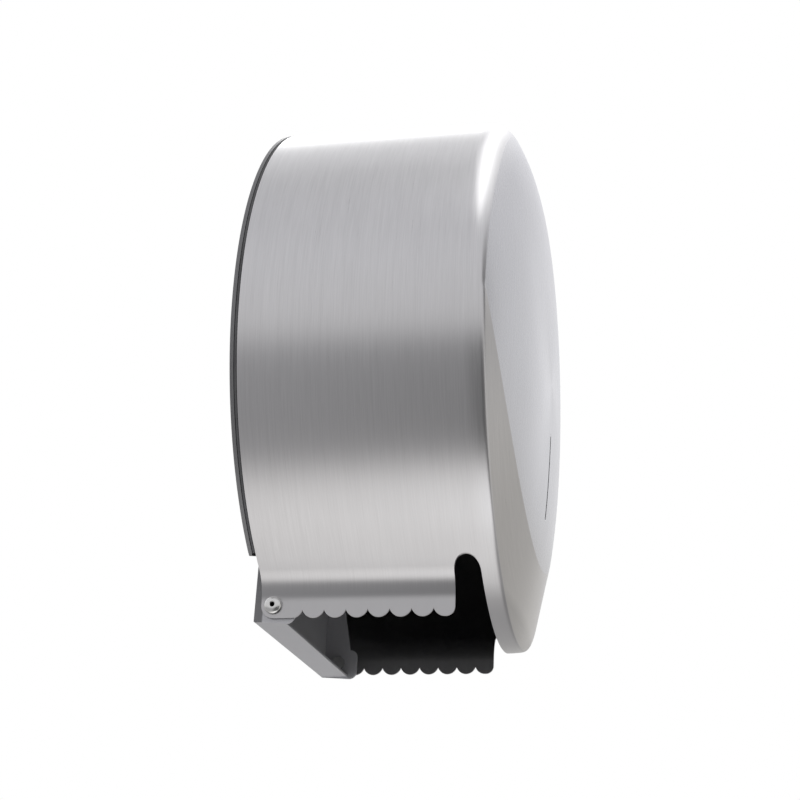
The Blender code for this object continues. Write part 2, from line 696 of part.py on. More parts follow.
# ---------------------------------------------------------------- lock

def at_height(profile):
    """Lock profiles are written with world heights; their origin is at the drum's top."""
    return [(radius, height - DRUM_R) for radius, height in profile]


barrel_profile = [(LOCK_PLUG_R + GAP, LOCK_TOP), (10 * MM, LOCK_TOP), (11 * MM, LOCK_TOP - 0.8 * MM),
                  (11 * MM, DRUM_R + GAP), (LOCK_BODY_R, DRUM_R + GAP), (LOCK_BODY_R, 118.6 * MM),
                  (LOCK_PLUG_R + GAP, 118.6 * MM)]
turned("lock_barrel", at_height(barrel_profile), LOCK_CHROME, COVER, LOCK, steps=24)

hexagon = [(12.5 * MM * cos(radians(60 * i)), 12.5 * MM * sin(radians(60 * i))) for i in range(6)]
lock_nut = part("lock_nut", outline_mesh(hexagon, 3.5 * MM), ZINC, COVER, (0, -LOCK_DEPTH, 131.2 * MM))
nut_cut = cutter("nut_hole_cut", rod_mesh(LOCK_BODY_R + GAP, 10 * MM, 24), (0, -LOCK_DEPTH, 131.2 * MM))
boolean(lock_nut, nut_cut)

plug_profile = [(0, LOCK_TOP - 0.2 * MM), (LOCK_PLUG_R, LOCK_TOP - 0.2 * MM), (LOCK_PLUG_R, 118.0 * MM),
                (3.0 * MM, 118.0 * MM), (3.0 * MM, 112.0 * MM), (0, 112.0 * MM)]
lock_plug = turned("lock_plug", at_height(plug_profile), LOCK_CHROME, LOCK_PIVOT, LOCK, closed=False,
                   steps=24)
key_mesh = box_mesh((-0.8 * MM, -3.4 * MM, -4 * MM), (0.8 * MM, 3.4 * MM, 4 * MM))
keyway = cutter("keyway_cut", key_mesh, (0, -LOCK_DEPTH, LOCK_TOP + 0.2 * MM))
boolean(lock_plug, keyway)

CAM_HALF = 5 * MM
cam_outline = arc((0, 0), CAM_HALF + 1 * MM, 180, 360, 10)
cam_outline += arc((0, CAM_REACH - CAM_HALF), CAM_HALF, 0, 180, 8)
lock_cam = part("lock_cam", outline_mesh(cam_outline, 2 * MM), ZINC, LOCK_PIVOT,
                (0, -LOCK_DEPTH, CAM_BOTTOM + 1 * MM))
cam_cut = cutter("cam_hole_cut", rod_mesh(3.3 * MM, 8 * MM, 20), (0, -LOCK_DEPTH, CAM_BOTTOM))
boolean(lock_cam, cam_cut)
turned("cam_nut", at_height(ring_profile(3.8 * MM, 5.6 * MM, 112.6 * MM, CAM_BOTTOM - GAP)), ZINC,
       LOCK_PIVOT, LOCK, steps=6)


def keeper_outline():
    """Bent strip as (depth, z): foot on the plate, arm forward under the cam, hook in front of it."""
    foot = PLATE + GAP
    arm_top = 112.0 * MM
    hook = LOCK_DEPTH + 9 * MM
    sheet = 1.5 * MM
    return [(foot, 94 * MM), (foot + sheet, 94 * MM), (foot + sheet, arm_top - sheet),
            (hook, arm_top - sheet), (hook, 120 * MM), (hook - sheet, 120 * MM), (hook - sheet, arm_top),
            (foot, arm_top)]


keeper_mesh = side_plate_mesh(keeper_outline(), KEEPER_X - KEEPER_WIDTH / 2, KEEPER_X + KEEPER_WIDTH / 2)
keeper = part("keeper", keeper_mesh, PLATED, WALL_UNIT)
for i, level in enumerate((97.5 * MM, 105.0 * MM)):
    spot = (KEEPER_X, 0, level)
    keeper_hole = cutter("keeper_hole_cut", rod_mesh(1.8 * MM, 20 * MM, 12), spot, TO_FRONT)
    boolean(keeper, keeper_hole)
    boolean(back_plate, keeper_hole)
    seat = PLATE + 1.5 * MM + 2 * GAP
    small_rivet = [(0, seat + 1.5 * MM), (1.8 * MM, seat + 1.2 * MM), (2.8 * MM, seat + 0.5 * MM),
                   (2.8 * MM, seat), (1.5 * MM, seat), (1.5 * MM, 0.3 * MM), (0, 0.3 * MM)]
    turned("keeper_rivet_%d" % (i + 1), small_rivet, ZINC, WALL_UNIT, spot, TO_FRONT, closed=False,
           steps=14)
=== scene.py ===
"""Looks of the wall-mounted jumbo toilet-roll dispenser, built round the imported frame.

Metres, +Z up. The front faces -Y, the wall is the plane Y = 0, and the near side of the view is -X.
"Depth" is the distance from the wall, so y = -depth.
"""

import json
from math import acos, asin, atan2, cos, degrees, pi, radians, sin, sqrt

import bmesh
import bpy
from mathutils import Matrix, Vector


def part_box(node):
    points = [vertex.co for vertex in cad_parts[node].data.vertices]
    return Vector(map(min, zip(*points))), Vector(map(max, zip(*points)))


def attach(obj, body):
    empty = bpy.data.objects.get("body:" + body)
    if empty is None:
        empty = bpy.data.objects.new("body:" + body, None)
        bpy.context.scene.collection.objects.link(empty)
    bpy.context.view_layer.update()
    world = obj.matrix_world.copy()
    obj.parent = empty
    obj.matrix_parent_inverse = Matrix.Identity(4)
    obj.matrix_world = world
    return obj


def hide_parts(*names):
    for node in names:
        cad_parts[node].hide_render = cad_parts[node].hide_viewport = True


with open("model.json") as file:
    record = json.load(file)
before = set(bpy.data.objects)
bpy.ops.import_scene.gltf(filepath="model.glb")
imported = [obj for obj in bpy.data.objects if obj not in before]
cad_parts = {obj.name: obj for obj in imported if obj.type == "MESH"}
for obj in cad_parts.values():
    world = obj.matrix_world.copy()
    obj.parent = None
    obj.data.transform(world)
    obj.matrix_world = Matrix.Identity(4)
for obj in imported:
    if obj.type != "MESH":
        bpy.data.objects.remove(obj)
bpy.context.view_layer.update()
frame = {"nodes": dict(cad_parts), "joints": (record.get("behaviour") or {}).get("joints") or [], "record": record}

MM = 0.001
X_AXIS, Y_AXIS, Z_AXIS = 0, 1, 2


# ---------------------------------------------------------------- sizes

WALL_LOW, WALL_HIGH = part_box("cover_wall")
CAP_LOW, CAP_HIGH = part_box("front_cap")
LOCK_LOW, LOCK_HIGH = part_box("lock_barrel")
SEAL_LOW, SEAL_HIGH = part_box("edge_seal")
HINGE_JOINT = next(j for j in frame["joints"] if j["name"] == "cover_hinge")

DRUM_R = WALL_HIGH.x
DRUM_REAR = -WALL_HIGH.y
SKIRT_REAR = -CAP_HIGH.y
APEX_DEPTH = -CAP_LOW.y
FLANGE_BOTTOM = WALL_LOW.z
HINGE = Vector(HINGE_JOINT["pos_m"])
LOCK_DEPTH = -(LOCK_LOW.y + LOCK_HIGH.y) / 2

STEEL = 1.0 * MM
GAP = 0.3 * MM
APEX_Z = 34.0 * MM
DISH = 6.0 * MM
EDGE_DROP = 11.5 * MM
EDGE_POWER = 4.6
SMILE_CENTRE_Z = 50.0 * MM
SMILE_R = 144.5 * MM
FACET_CORNER_DEPTH = 111.7 * MM
ROUND_START_TOP = 104.0 * MM
ROUND_START_BOTTOM = 110.0 * MM
ROUND_REACH_TOP = 7.0 * MM
ROUND_REACH_BOTTOM = 1.5 * MM
CREASE_HALF = 0.4 * MM
EDGE_LEAN = 0.35 * MM
EDGE_LEAN_START = 103.3 * MM

FLANGE_X = 64.0 * MM
FLANGE_FRONT = 91.5 * MM
BEND_R = 16.0 * MM
TOOTH_PITCH = 9.9 * MM
TOOTH_HEIGHT = 3.6 * MM
FIRST_VALLEY = 22.5 * MM
VALLEYS = 7
NOTCH_R = 6.0 * MM
NOTCH_TOP = -110.5 * MM
REAR_CORNER_R = 6.0 * MM
FRONT_CORNER_R = 4.0 * MM
HINGE_HOLE_R = 2.4 * MM
LOCK_HOLE_R = 8.3 * MM
SLOT_TOP = -27.0 * MM
SLOT_BOTTOM = -73.0 * MM
SLOT_WIDTH = 3.2 * MM
STRIP_END = 100.0 * MM

DISC_R = 134.4 * MM
LIP_INNER_R = 133.6 * MM
LIP_DEPTH = 1.9 * MM
LIP_STEP = 0.15 * MM
LIP_END_X = 77.4 * MM
SEAL_R = (133.4 * MM, 134.9 * MM)
SEAL_DEPTH = (-SEAL_HIGH.y, -SEAL_LOW.y)
PLATE = 1.5 * MM
BOX_X = 62.7 * MM
BOX_BOTTOM = -136.0 * MM
EAR_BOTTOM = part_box("back_plate")[0].z
EAR_TOP = -100.0 * MM
EAR_DEPTH = 19.0 * MM
EAR_NECK = 11.5 * MM
FOOT_TOP = -122.0 * MM
EAR_SHEET = 1.2 * MM
SILL_DEPTH = 14.0 * MM
FIXING_X = 52.0 * MM
FIXING_Z = 62.0 * MM
FIXING_HOLE_R = 3.5 * MM
BASE_RIVET_CIRCLE = 23.0 * MM
BASE_RIVET_HOLE_R = 2.3 * MM
RIVET_TOP = 66.3 * MM
RIVET_BORE_R = 1.1 * MM
RIVET_RIM_R = 1.3 * MM
RIVET_HEAD_R = 4.0 * MM
RIVET_DOME = 1.5 * MM
RIVET_DOME_STEPS = 12
RIVET_SHANK_R = 2.0 * MM
RIVET_TAIL_R = 3.4 * MM
RIVET_TAIL_END = 1.4 * MM


# ---------------------------------------------------------------- camera

def make_camera():
    """Seen from the dispenser's left and from below, as when standing near it and looking up."""
    data = bpy.data.cameras.new("view")
    camera = bpy.data.objects.new("view", data)
    bpy.context.scene.collection.objects.link(camera)
    yaw, pitch, roll = radians(7.82), radians(24.82), radians(0.94)
    forward = Vector((cos(pitch) * cos(yaw), cos(pitch) * sin(yaw), sin(pitch)))
    right = forward.cross(Vector((0, 0, 1))).normalized()
    up = right.cross(forward)
    turned_right = right * cos(roll) + up * sin(roll)
    turned_up = up * cos(roll) - right * sin(roll)
    basis = Matrix((turned_right, turned_up, -forward)).transposed()
    camera.matrix_world = Matrix.Translation((-0.6662, -0.1922, -0.2817)) @ basis.to_4x4()
    data.sensor_width = 36
    data.lens = 63.1
    data.shift_x = -0.1251
    data.shift_y = -0.0799
    bpy.context.scene.camera = camera


# ---------------------------------------------------------------- studio

def ramp_node(nodes, stops):
    """A colour ramp from (position, value or colour) stops."""
    node = nodes.new("ShaderNodeValToRGB")
    ramp = node.color_ramp
    while len(ramp.elements) < len(stops):
        ramp.elements.new(0.5)
    for element, (position, value) in zip(ramp.elements, stops):
        element.position = position
        element.color = (*value, 1) if isinstance(value, tuple) else (value, value, value, 1)
    return node


def height_share(height):
    """Place of a direction's height, from -1 straight down to 1 straight up, on a ramp from 0 to 1."""
    return (height + 1) / 2


def make_world():
    """A pale studio: white to the eye, with the soft tonal zones that the steel mirrors.

    The near side (-X) is a light wall above eye level, a grey zone below it and a bright table under
    that. Towards the front of the near side a dark band lies below eye level, and the table is brighter
    there. The far side (+X) is lighter towards the wall, with a bright window high up. The front (-Y) is
    dark, and a softbox hangs above the front of the dispenser.
    """
    world = bpy.data.worlds.new("studio")
    bpy.context.scene.world = world
    world.use_nodes = True
    nodes, links = world.node_tree.nodes, world.node_tree.links
    nodes.clear()
    output = nodes.new("ShaderNodeOutputWorld")
    seen = nodes.new("ShaderNodeBackground")
    seen.inputs["Color"].default_value = (1, 1, 1, 1)
    mirrored = nodes.new("ShaderNodeBackground")
    mix = nodes.new("ShaderNodeMixShader")
    path = nodes.new("ShaderNodeLightPath")
    links.new(path.outputs["Is Camera Ray"], mix.inputs["Fac"])
    links.new(mirrored.outputs[0], mix.inputs[1])
    links.new(seen.outputs[0], mix.inputs[2])
    links.new(mix.outputs[0], output.inputs["Surface"])
    place = nodes.new("ShaderNodeTexCoord")
    axes = nodes.new("ShaderNodeSeparateXYZ")
    links.new(place.outputs["Generated"], axes.inputs[0])

    def span(socket, start, end):
        node = nodes.new("ShaderNodeMapRange")
        node.interpolation_type = "SMOOTHSTEP"
        node.inputs["From Min"].default_value = start
        node.inputs["From Max"].default_value = end
        links.new(socket, node.inputs["Value"])
        return node.outputs["Result"]

    def mixed(share, first, second):
        node = nodes.new("ShaderNodeMix")
        node.data_type = "RGBA"
        links.new(share, node.inputs[0])
        links.new(first, node.inputs[6])
        links.new(second, node.inputs[7])
        return node.outputs[2]

    def brightness(value):
        node = nodes.new("ShaderNodeCombineColor")
        for channel in range(3):
            if isinstance(value, bpy.types.NodeSocket):
                links.new(value, node.inputs[channel])
            else:
                node.inputs[channel].default_value = value
        return node.outputs[0]

    def product(first, second):
        node = nodes.new("ShaderNodeMath")
        node.operation = "MULTIPLY"
        links.new(first, node.inputs[0])
        links.new(second, node.inputs[1])
        return node.outputs[0]

    x, y, z = (axes.outputs[axis] for axis in "XYZ")
    height = span(z, -1, 1)
    height.node.interpolation_type = "LINEAR"
    near_tones = ramp_node(nodes, [(0.0, (1.0, 0.98, 0.96)), (height_share(-0.85), (0.98, 0.96, 0.94)),
                                   (height_share(-0.70), (0.44, 0.435, 0.44)),
                                   (height_share(-0.06), (0.42, 0.42, 0.43)),
                                   (height_share(0.05), (0.74, 0.735, 0.74)),
                                   (height_share(0.60), (0.75, 0.75, 0.77)),
                                   (height_share(0.90), (0.62, 0.62, 0.64)),
                                   (1.0, (0.58, 0.58, 0.59))])
    far_tones = ramp_node(nodes, [(0.0, (0.90, 0.89, 0.88)), (height_share(-0.92), (0.60, 0.59, 0.58)),
                                  (height_share(-0.80), (0.38, 0.375, 0.375)),
                                  (height_share(-0.30), (0.40, 0.395, 0.39)),
                                  (height_share(0.16), (0.57, 0.56, 0.545)),
                                  (height_share(0.26), (0.74, 0.74, 0.755)),
                                  (height_share(0.62), (0.80, 0.80, 0.83)),
                                  (height_share(0.74), (1.35, 1.35, 1.35)),
                                  (height_share(0.84), (1.05, 1.05, 1.05)),
                                  (height_share(0.92), (0.66, 0.66, 0.67)),
                                  (1.0, (0.56, 0.56, 0.57))])
    front_tones = ramp_node(nodes, [(0.0, (0.85, 0.84, 0.82)), (height_share(-0.60), (0.62, 0.61, 0.59)),
                                    (height_share(0.08), (0.70, 0.69, 0.67)),
                                    (height_share(0.30), (0.16, 0.16, 0.16)),
                                    (height_share(0.60), (0.14, 0.14, 0.14)),
                                    (height_share(0.76), (0.9, 0.9, 0.9)),
                                    (1.0, (1.6, 1.6, 1.6))])
    for tones in (near_tones, far_tones, front_tones):
        links.new(height, tones.inputs["Fac"])
    turn = span(y, -0.38, -0.03)
    turn.node.inputs["To Min"].default_value = 0.92
    turn.node.inputs["To Max"].default_value = 1.34
    far_side = nodes.new("ShaderNodeVectorMath")
    far_side.operation = "MULTIPLY"
    links.new(far_tones.outputs["Color"], far_side.inputs[0])
    links.new(brightness(turn), far_side.inputs[1])
    sides = mixed(span(x, -0.12, 0.12), near_tones.outputs["Color"], far_side.outputs[0])
    beside = product(span(y, 0.22, 0.0), span(x, 0.0, -0.2))
    low_band = product(beside, product(span(z, 0.02, -0.06), span(z, -0.80, -0.70)))
    edged = mixed(low_band, sides, brightness(0.14))
    edged = mixed(product(beside, span(z, -0.80, -0.88)), edged, brightness(1.35))
    with_front = mixed(span(y, -0.72, -0.88), edged, front_tones.outputs["Color"])
    softbox = product(span(y, 0.04, -0.14), span(z, 0.76, 0.86))
    links.new(mixed(softbox, with_front, brightness(2.0)), mirrored.inputs["Color"])
    mirrored.inputs["Strength"].default_value = 1.0


def make_floor():
    """A plain pale floor well below the dispenser, kept out of the steel's reflections."""
    mesh = bpy.data.meshes.new("floor")
    shape = bmesh.new()
    bmesh.ops.create_grid(shape, x_segments=1, y_segments=1, size=4)
    shape.to_mesh(mesh)
    shape.free()
    floor = bpy.data.objects.new("floor", mesh)
    floor.location = (0, 0, -0.75)
    floor.visible_glossy = False
    bpy.context.scene.collection.objects.link(floor)
    material = bpy.data.materials.new("floor")
    material.use_nodes = True
    shader = material.node_tree.nodes["Principled BSDF"]
    shader.inputs["Base Color"].default_value = (0.86, 0.86, 0.86, 1)
    shader.inputs["Roughness"].default_value = 0.9
    mesh.materials.append(material)


def area_light(name, place, target, size, power):
    """A rectangular light aimed at a point and not seen by the camera."""
    data = bpy.data.lights.new(name, "AREA")
    data.shape = "RECTANGLE"
    data.size, data.size_y = size
    data.energy = power
    light = bpy.data.objects.new(name, data)
    light.location = place
    aim = Vector(target) - Vector(place)
    light.rotation_euler = aim.to_track_quat("-Z", "Y").to_euler()
    light.visible_camera = False
    bpy.context.scene.collection.objects.link(light)


make_camera()
make_world()
make_floor()
area_light("window", (0.75, 0.35, 0.95), (0, -0.05, 0), (0.5, 0.5), 3)
bpy.context.scene.view_settings.view_transform = "Standard"


# ---------------------------------------------------------------- materials

class Graph:
    """A small helper that keeps node building readable."""

    def __init__(self, name):
        self.material = bpy.data.materials.new(name)
        self.material.use_nodes = True
        self.nodes = self.material.node_tree.nodes
        self.links = self.material.node_tree.links
        self.shader = self.nodes["Principled BSDF"]

    def feed(self, node, socket, value):
        if isinstance(value, bpy.types.NodeSocket):
            self.links.new(value, node.inputs[socket])
        else:
            node.inputs[socket].default_value = value

    def add(self, kind, **inputs):
        node = self.nodes.new(kind)
        for key, value in inputs.items():
            self.feed(node, key.replace("_", " "), value)
        return node

    def place(self, scale, turn=(0, 0, 0)):
        coords = self.nodes.new("ShaderNodeTexCoord")
        node = self.add("ShaderNodeMapping", Vector=coords.outputs["Object"], Scale=scale)
        node.inputs["Rotation"].default_value = turn
        return node.outputs["Vector"]

    def noise(self, scale, detail=2.0, rough=0.5):
        node = self.add("ShaderNodeTexNoise", Vector=self.place(scale), Scale=1.0, Detail=detail,
                        Roughness=rough)
        return node.outputs["Fac"]

    def span(self, value, low, high, start=0.3, end=0.7):
        node = self.add("ShaderNodeMapRange", Value=value)
        node.inputs["From Min"].default_value = start
        node.inputs["From Max"].default_value = end
        node.inputs["To Min"].default_value = low
        node.inputs["To Max"].default_value = high
        return node.outputs["Result"]

    def math(self, operation, first, second=0.0):
        node = self.nodes.new("ShaderNodeMath")
        node.operation = operation
        self.feed(node, 0, first)
        self.feed(node, 1, second)
        return node.outputs["Value"]

    def blend(self, share, first, second):
        node = self.nodes.new("ShaderNodeMix")
        node.data_type = "RGBA"
        self.feed(node, 0, share)
        self.feed(node, 6, first)
        self.feed(node, 7, second)
        return node.outputs[2]

    def bump(self, height, strength, distance=0.05 * MM):
        node = self.add("ShaderNodeBump", Height=height, Strength=strength, Distance=distance)
        self.feed(self.shader, "Normal", node.outputs["Normal"])

    def edge_wear(self, radius=0.6 * MM):
        """1 on convex edges and 0 elsewhere, from the bevelled normal's turn."""
        bevel = self.nodes.new("ShaderNodeBevel")
        bevel.samples = 4
        bevel.inputs["Radius"].default_value = radius
        flat = self.nodes.new("ShaderNodeNewGeometry")
        dot = self.nodes.new("ShaderNodeVectorMath")
        dot.operation = "DOT_PRODUCT"
        self.links.new(bevel.outputs["Normal"], dot.inputs[0])
        self.links.new(flat.outputs["Normal"], dot.inputs[1])
        return self.span(dot.outputs["Value"], 1, 0, 0.80, 0.995)

    def set(self, socket, value):
        self.feed(self.shader, socket, value)


def brushed_metal(name, colour, roughness, across, anisotropy=0.6, contrast=0.06, relief=0.10,
                  coarse_contrast=0.04, wear=0.5):
    """Satin steel. across is the axis along which the brushing lines are stacked."""
    graph = Graph(name)
    hair_scale = [70, 70, 70]
    hair_scale[across] = 4200
    streak_scale = [18, 18, 18]
    streak_scale[across] = 900
    hair = graph.noise(hair_scale, detail=4, rough=0.65)
    streak = graph.noise(streak_scale, detail=3)
    cloud = graph.noise((11, 11, 11), detail=4, rough=0.6)
    grain = graph.math("ADD", graph.math("MULTIPLY", hair, 0.65), graph.math("MULTIPLY", streak, 0.35))
    dark = tuple(c * (1 - contrast) for c in colour) + (1,)
    light = tuple(min(c * (1 + contrast), 1) for c in colour) + (1,)
    tone = graph.blend(graph.span(grain, 0, 1), dark, light)
    smudge = tuple(c * (1 - coarse_contrast) for c in colour) + (1,)
    tone = graph.blend(graph.span(cloud, 0, 0.5, 0.45, 0.75), tone, smudge)
    polished = tuple(min(c * 1.25, 1) for c in colour) + (1,)
    rubbed = graph.math("MULTIPLY", graph.edge_wear(), graph.span(cloud, 0.2 * wear, wear, 0.35, 0.6))
    tone = graph.blend(rubbed, tone, polished)
    graph.base = tone
    graph.set("Base Color", tone)
    graph.set("Metallic", 1.0)
    uneven = graph.math("ADD", graph.span(grain, -0.04, 0.04), graph.span(cloud, roughness - 0.02,
                                                                          roughness + 0.02))
    graph.set("Roughness", uneven)
    graph.set("Anisotropic", anisotropy)
    tangent = graph.nodes.new("ShaderNodeTangent")
    tangent.direction_type = "RADIAL"
    tangent.axis = "Y"
    graph.set("Tangent", tangent.outputs[0])
    graph.bump(grain, relief)
    return graph


def drum_material(name, colour):
    """Grain runs round the drum. Below the bend the flanges take a darker colour: painted shade."""
    graph = brushed_metal(name, colour, 0.32, Y_AXIS, anisotropy=0.5, contrast=0.09, relief=0.14)
    graph.set("Anisotropic Rotation", 0.25)
    coords = graph.nodes.new("ShaderNodeTexCoord")
    spot = graph.add("ShaderNodeSeparateXYZ", Vector=coords.outputs["Object"])
    # painted shade: the flanges below the bend are coloured darker
    flange_painted_shade = graph.span(spot.outputs["Z"], 1, 0, -125 * MM, -120 * MM)
    shaded = tuple(c * 0.80 for c in colour) + (1,)
    graph.set("Base Color", graph.blend(flange_painted_shade, graph.base, shaded))
    return graph.material


def plate_material():
    """Dull plated sheet with painted shade: darker at the rim round the disc, and close to the wall at and beyond
    the box part's sides, which takes in the disc's flat parts on both sides.
    """
    graph = brushed_metal("satin_plate", (0.52, 0.52, 0.54), 0.46, X_AXIS, anisotropy=0.2, wear=0.3)
    graph.set("Metallic", 0.7)
    coords = graph.nodes.new("ShaderNodeTexCoord")
    flat = graph.nodes.new("ShaderNodeVectorMath")
    flat.operation = "MULTIPLY"
    graph.links.new(coords.outputs["Object"], flat.inputs[0])
    flat.inputs[1].default_value = (1, 0, 1)
    reach = graph.nodes.new("ShaderNodeVectorMath")
    reach.operation = "LENGTH"
    graph.links.new(flat.outputs[0], reach.inputs[0])
    rim = graph.span(reach.outputs["Value"], 0, 1, 133.0 * MM, 133.5 * MM)
    spot = graph.add("ShaderNodeSeparateXYZ", Vector=coords.outputs["Object"])
    above = graph.span(spot.outputs["Z"], 0, 1, -118 * MM, -112 * MM)
    side = graph.span(graph.math("ABSOLUTE", spot.outputs["X"]), 0, 1, 62.3 * MM, 62.5 * MM)
    behind = graph.span(spot.outputs["Y"], 0, 1, -4.2 * MM, -3.6 * MM)
    box_edge = graph.math("MULTIPLY", side, behind)
    # painted shade: the disc's rim above the box and the plate's sides close to the wall are coloured darker
    plate_painted_shade = graph.math("MAXIMUM", graph.math("MULTIPLY", rim, above), box_edge)
    graph.set("Base Color", graph.blend(plate_painted_shade, graph.base, (0.20, 0.20, 0.205, 1)))
    return graph.material


DRUM_STEEL = drum_material("brushed_drum", (0.64, 0.635, 0.645))
# the facet: the drum steel in a darker, warmer colour, which is painted shade
FACET_STEEL_PAINTED_SHADE = drum_material("brushed_facet_painted_shade", (0.62, 0.605, 0.59))
FRONT_STEEL = brushed_metal("brushed_front", (0.69, 0.69, 0.705), 0.27, X_AXIS, anisotropy=0.3,
                            contrast=0.07, coarse_contrast=0.06).material
# the cover's inner faces: a duller finish, and a dark colour that is painted shade inside the drum
INSIDE_STEEL_PAINTED_SHADE = brushed_metal("mill_inside_painted_shade", (0.33, 0.33, 0.335), 0.5, Y_AXIS, anisotropy=0.2).material
PLATE_STEEL = plate_material()
ZINC_STEEL = brushed_metal("zinc_plate", (0.60, 0.60, 0.58), 0.30, Y_AXIS, anisotropy=0.0).material
RIVET_STEEL = brushed_metal("rivet_steel", (0.74, 0.74, 0.73), 0.22, Z_AXIS, anisotropy=0.0).material


def moulded(name, colour, roughness, speckle=0.2):
    """Moulded plastic or rubber with a fine texture."""
    graph = Graph(name)
    fine = graph.noise((2600, 2600, 2600), detail=2)
    cloud = graph.noise((40, 40, 40), detail=3)
    dark = tuple(c * (1 - speckle) for c in colour) + (1,)
    light = tuple(min(c * (1 + speckle), 1) for c in colour) + (1,)
    worn = tuple(min(c * 1.6 + 0.02, 1) for c in colour) + (1,)
    tone = graph.blend(graph.span(cloud, 0, 1), dark, light)
    rubbed = graph.math("MULTIPLY", graph.edge_wear(0.4 * MM), graph.span(cloud, 0.1, 0.7))
    graph.set("Base Color", graph.blend(rubbed, tone, worn))
    graph.set("Roughness", graph.span(cloud, roughness - 0.05, roughness + 0.06))
    graph.set("Specular IOR Level", 0.45)
    graph.bump(fine, 0.15)
    return graph.material


BLACK_PLASTIC = moulded("black_plastic", (0.045, 0.045, 0.05), 0.48)
SEAL_RUBBER = moulded("seal_rubber", (0.075, 0.075, 0.078), 0.7)
WHITE_NYLON = moulded("white_nylon", (0.78, 0.77, 0.71), 0.5, 0.04)
# near-black for the inside of the rivets' bores: painted shadow in the deep holes
BORE_PAINTED_SHADOW = moulded("bore_painted_shadow", (0.01, 0.01, 0.01), 0.8)
SMOKED_LENS = moulded("smoked_lens", (0.02, 0.02, 0.023), 0.12, 0.1)
LOCK_CHROME = brushed_metal("lock_chrome", (0.72, 0.72, 0.73), 0.14, Z_AXIS, anisotropy=0.0,
                            relief=0.02).material


# ---------------------------------------------------------------- mesh makers

def arc(centre, radius, start, end, steps):
    """Points along an arc, both ends included, angles in degrees."""
    points = []
    for i in range(steps + 1):
        angle = radians(start + (end - start) * i / steps)
        points.append((centre[0] + radius * cos(angle), centre[1] + radius * sin(angle)))
    return points


def prism(points, low, high, to_world):
    """A closed prism over an outline. to_world turns (u, v, height) into a world point."""
    mesh = bpy.data.meshes.new("prism")
    shape = bmesh.new()
    lower = [shape.verts.new(to_world(u, v, low)) for u, v in points]
    upper = [shape.verts.new(to_world(u, v, high)) for u, v in points]
    shape.faces.new(lower)
    shape.faces.new(upper)
    for i in range(len(points)):
        j = (i + 1) % len(points)
        shape.faces.new((lower[i], lower[j], upper[j], upper[i]))
    bmesh.ops.recalc_face_normals(shape, faces=shape.faces)
    shape.to_mesh(mesh)
    shape.free()
    return mesh


def side_point(depth, z, x):
    return (x, -depth, z)


def front_point(x, z, depth):
    return (x, -depth, z)


def plan_point(x, depth, z):
    return (x, -depth, z)


def linked(name, mesh):
    thing = bpy.data.objects.new(name, mesh)
    bpy.context.scene.collection.objects.link(thing)
    return thing


def cut(piece, mesh, operation="DIFFERENCE"):
    """Applies one Boolean with a throwaway tool."""
    tool = linked("tool", mesh)
    step = piece.modifiers.new("cut", "BOOLEAN")
    step.operation = operation
    step.object = tool
    step.solver = "EXACT"
    apply_modifiers(piece)
    bpy.data.objects.remove(tool, do_unlink=True)


def apply_modifiers(piece):
    graph = bpy.context.evaluated_depsgraph_get()
    mesh = bpy.data.meshes.new_from_object(piece.evaluated_get(graph))
    piece.modifiers.clear()
    piece.data = mesh


def soften_edges(piece, width, angle=50, segments=2):
    step = piece.modifiers.new("edge", "BEVEL")
    step.width = width
    step.segments = segments
    step.limit_method = "ANGLE"
    step.angle_limit = radians(angle)
    step.use_clamp_overlap = True
    apply_modifiers(piece)


def shade(piece, angle=30):
    """Smooth shading that keeps sharp edges sharp and large faces flat."""
    piece.data.shade_smooth()
    piece.data.set_sharp_from_angle(angle=radians(angle))
    step = piece.modifiers.new("normals", "WEIGHTED_NORMAL")
    step.keep_sharp = True
    step.weight = 80


def dress(piece, body, material, slot, *nodes):
    """Gives a piece its body, finish and the CAD nodes it stands for."""
    if material:
        piece.data.materials.clear()
        piece.data.materials.append(material)
    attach(piece, body)
    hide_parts(*nodes)
    return piece


# ---------------------------------------------------------------- cover shell

COLUMN_STEP = 1.0
ROUND_STEPS = 10
DOME_STEPS = 22
BEND_X = -FLANGE_X - BEND_R
BEND_Z = -sqrt((DRUM_R + BEND_R) ** 2 - BEND_X ** 2)
CIRCLE_END = degrees(atan2(BEND_Z, BEND_X)) + 360


def smoothstep(value):
    value = min(max(value, 0.0), 1.0)
    return value * value * (3 - 2 * value)


def dome_depth(x, z):
    """Depth of the dome: level curves are circles that grow from the apex to the drum's rim."""
    from_apex = z - APEX_Z
    a = APEX_Z ** 2 - DRUM_R ** 2
    b = 2 * APEX_Z * from_apex
    c = x ** 2 + from_apex ** 2
    share = min((-b - sqrt(b ** 2 - 4 * a * c)) / (2 * a), 1.0)
    return APEX_DEPTH - DISH * share ** 2 - EDGE_DROP * share ** EDGE_POWER


def dome_at(radius, angle):
    return dome_depth(radius * cos(angle), radius * sin(angle))


def smile_radius(angle):
    """Distance from the drum's axis to the circle that bounds the dome at the bottom."""
    down = SMILE_CENTRE_Z * sin(angle)
    return down + sqrt(down ** 2 + SMILE_R ** 2 - SMILE_CENTRE_Z ** 2)


def rim_size(angle):
    """Where the rim starts to round off, and how far in from the drum it reaches."""
    elevation = degrees(asin(sin(angle)))
    top_share = smoothstep((elevation + 15) / 55)
    start = ROUND_START_BOTTOM + (ROUND_START_TOP - ROUND_START_BOTTOM) * top_share
    return start, ROUND_REACH_BOTTOM + (ROUND_REACH_TOP - ROUND_REACH_BOTTOM) * top_share


